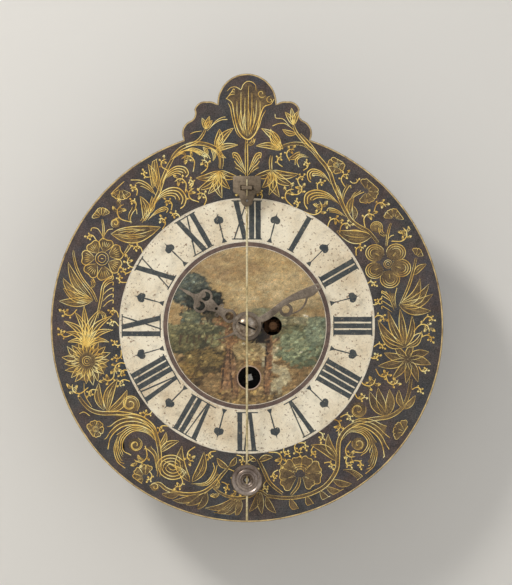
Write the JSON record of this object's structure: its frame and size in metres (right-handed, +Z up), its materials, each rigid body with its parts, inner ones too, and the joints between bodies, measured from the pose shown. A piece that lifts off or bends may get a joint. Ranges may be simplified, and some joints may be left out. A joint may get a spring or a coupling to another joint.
{
  "type": "plate clock",
  "caption": "Painted iron plate clock with lobed crest, pierced hands, brass verge movement and a short pendulum swinging in front of the dial.",
  "frame": {"origin": "centre of the hanging hole, on the wall plane", "axes": "+Z up, +Y into the wall, dial facing -Y"},
  "size_m": [0.27, 0.082, 0.3084],
  "materials": {
    "painted_iron": "old oil paint on sheet iron, slightly glossy",
    "frame_iron": "filed wrought iron, darkened",
    "cock_iron": "filed wrought iron, worn and slightly brown",
    "steel": "turned and filed steel",
    "spring_steel": "blued spring steel",
    "brass": "old polished brass",
    "bob_metal": "turned, dull grey-brown patina",
    "wire": "bright drawn wire",
    "hand_iron": "pierced and filed iron, grey-brown",
    "nut_steel": "polished steel with wear"
  },
  "bodies": {
    "frame_set": {"dial_plate": "painted_iron", "dial_feet": "frame_iron", "dial_foot_pins": "steel", "front_plate": "frame_iron", "back_plate": "frame_iron", "movement_pillars": "frame_iron", "pillar_pins": "steel", "hanger": "frame_iron", "hanger_rivets": "steel", "wall_pegs": "frame_iron", "lower_potence": "frame_iron", "upper_potence": "frame_iron", "potence_screws": "steel", "back_cock": "frame_iron", "back_cock_screws": "steel", "cock_stud": "frame_iron", "front_cock": "cock_iron", "cock_pin": "steel", "click_screw": "steel", "click_spring": "steel", "click_spring_screw": "steel", "minute_stud": "steel", "minute_collar": "steel"},
    "winding_set": {"barrel_arbor": "steel", "ratchet_wheel": "steel", "ratchet_pin": "steel"},
    "click_set": {"click": "steel"},
    "barrel_set": {"great_wheel": "brass", "barrel_drum": "brass", "barrel_cap": "brass", "mainspring": "spring_steel"},
    "centre_set": {"centre_arbor": "steel", "centre_collet": "brass", "centre_wheel": "brass"},
    "contrate_set": {"contrate_arbor": "steel", "contrate_collet": "brass", "contrate_wheel": "brass"},
    "crown_set": {"crown_arbor": "steel", "crown_collet": "brass", "crown_wheel": "brass"},
    "pendulum_set": {"verge": "steel", "rod_collet": "brass", "pendulum_rod": "wire", "pendulum_bob": "bob_metal", "bob_screw": "steel"},
    "minute_set": {"cannon": "brass", "minute_hand": "hand_iron", "hand_nut": "nut_steel"},
    "minute_wheel_set": {"minute_wheel": "brass", "minute_pinion": "brass"},
    "hour_set": {"hour_wheel": "brass", "hour_hand": "hand_iron"}
  },
  "joints": [
    {"name": "contrate_spin", "type": "hinge", "parent": "frame_set", "child": "contrate_set", "pos_m": [0, -0.03, -0.0896], "axis": [0, 1, 0], "continuous": true},
    {"name": "centre_spin", "type": "hinge", "parent": "frame_set", "child": "centre_set", "pos_m": [0, -0.03, -0.113], "axis": [0, 1, 0], "continuous": true},
    {"name": "barrel_spin", "type": "hinge", "parent": "frame_set", "child": "barrel_set", "pos_m": [0.0015, -0.03, -0.1487], "axis": [0, 1, 0], "continuous": true},
    {"name": "crown_spin", "type": "hinge", "parent": "frame_set", "child": "crown_set", "pos_m": [0, -0.0286, -0.053], "axis": [0, 0, 1], "continuous": true},
    {"name": "pendulum_swing", "type": "hinge", "parent": "frame_set", "child": "pendulum_set", "pos_m": [0, -0.0706, -0.0273], "axis": [0, 1, 0], "range_deg": [-15, 15]},
    {"name": "minute_hand_spin", "type": "hinge", "parent": "frame_set", "child": "minute_set", "pos_m": [0, -0.0746, -0.113], "axis": [0, 1, 0], "continuous": true},
    {"name": "minute_wheel_spin", "type": "hinge", "parent": "frame_set", "child": "minute_wheel_set", "pos_m": [0.018, -0.056, -0.113], "axis": [0, 1, 0], "continuous": true},
    {"name": "hour_hand_spin", "type": "hinge", "parent": "frame_set", "child": "hour_set", "pos_m": [0, -0.0706, -0.113], "axis": [0, 1, 0], "continuous": true},
    {"name": "winding_spin", "type": "hinge", "parent": "frame_set", "child": "winding_set", "pos_m": [0.0015, -0.056, -0.1487], "axis": [0, 1, 0], "continuous": true},
    {"name": "click_lift", "type": "hinge", "parent": "frame_set", "child": "click_set", "pos_m": [0.01307, -0.0536, -0.13478], "axis": [0, 1, 0], "range_deg": [0, 5], "stiffness_Nm_per_rad": 0.02, "springref_deg": -5.73}
  ],
  "couplings": [
    {"joint": "centre_spin", "follows": "contrate_spin", "ratio": -0.083333},
    {"joint": "barrel_spin", "follows": "contrate_spin", "ratio": 0.0092593},
    {"joint": "crown_spin", "follows": "contrate_spin", "ratio": 11},
    {"joint": "minute_wheel_spin", "follows": "minute_hand_spin", "ratio": -0.33333},
    {"joint": "hour_hand_spin", "follows": "minute_hand_spin", "ratio": 0.083333}
  ]
}
